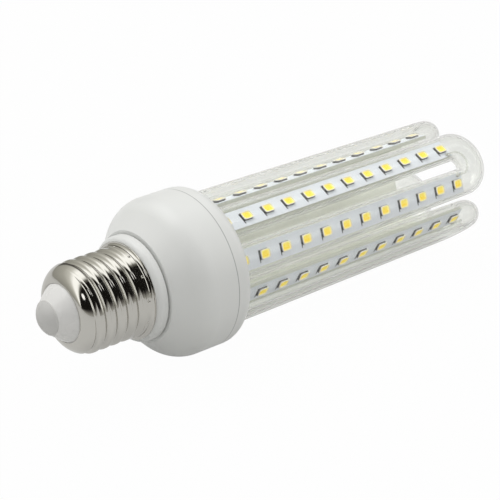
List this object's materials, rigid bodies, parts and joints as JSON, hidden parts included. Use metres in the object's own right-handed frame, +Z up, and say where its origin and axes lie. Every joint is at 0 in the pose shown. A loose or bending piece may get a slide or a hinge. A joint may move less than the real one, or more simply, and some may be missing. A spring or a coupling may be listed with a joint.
{
  "type": "corn led bulb",
  "caption": "Corn LED bulb with clear U-shaped tubes holding rows of LED boards, a white moulded housing and a screw cap.",
  "frame": {"origin": "on the table under the middle of the lying lamp, at the bottom centre of its box", "axes": "+X along the lamp from the screw cap to the tube bends, +Z up from the table; the lamp axis dips 2.90 degrees towards the tubes"},
  "size_m": [0.1626, 0.0472, 0.0477],
  "materials": {
    "contact_nickel": "dull nickel-plated contact",
    "insulator_white": "white moulded insulator",
    "shell_nickel": "bright nickel-plated rolled sheet",
    "housing_white": "white moulded plastic, satin",
    "tube_clear": "clear moulded plastic tube",
    "board_white": "white solder mask on glass-fibre board",
    "led_white": "white LED package",
    "led_phosphor": "yellow phosphor in silicone",
    "wire_tinned": "tinned copper wire",
    "driver_board_green": "green circuit board",
    "capacitor_sleeve": "black shrink sleeve",
    "film_capacitor_red": "dipped film capacitor",
    "moulded_black": "black epoxy package",
    "resistor_lacquer": "lacquered resistor",
    "lead_red": "red wire insulation",
    "lead_black": "black wire insulation"
  },
  "bodies": {
    "root": {"bridge_rectifier": "moulded_black", "centre_contact": "contact_nickel", "contact_insulator": "insulator_white", "driver_board": "driver_board_green", "driver_chip": "moulded_black", "fusible_resistor": "resistor_lacquer", "input_capacitor": "film_capacitor_red", "led_board_1": "board_white", "led_board_2": "board_white", "led_board_3": "board_white", "led_board_4": "board_white", "led_board_5": "board_white", "led_board_6": "board_white", "led_board_7": "board_white", "led_board_8": "board_white", "led_bodies_1": "led_white", "led_bodies_2": "led_white", "led_bodies_3": "led_white", "led_bodies_4": "led_white", "led_bodies_5": "led_white", "led_bodies_6": "led_white", "led_bodies_7": "led_white", "led_bodies_8": "led_white", "led_phosphors_1": "led_phosphor", "led_phosphors_2": "led_phosphor", "led_phosphors_3": "led_phosphor", "led_phosphors_4": "led_phosphor", "led_phosphors_5": "led_phosphor", "led_phosphors_6": "led_phosphor", "led_phosphors_7": "led_phosphor", "led_phosphors_8": "led_phosphor", "link_wire_1": "wire_tinned", "link_wire_2": "wire_tinned", "link_wire_3": "wire_tinned", "link_wire_4": "wire_tinned", "live_lead": "lead_red", "lower_housing": "housing_white", "neutral_lead": "lead_black", "screw_shell": "shell_nickel", "smoothing_capacitor": "capacitor_sleeve", "u_tube_1": "tube_clear", "u_tube_2": "tube_clear", "u_tube_3": "tube_clear", "u_tube_4": "tube_clear", "upper_cover": "housing_white"}
  },
  "joints": []
}
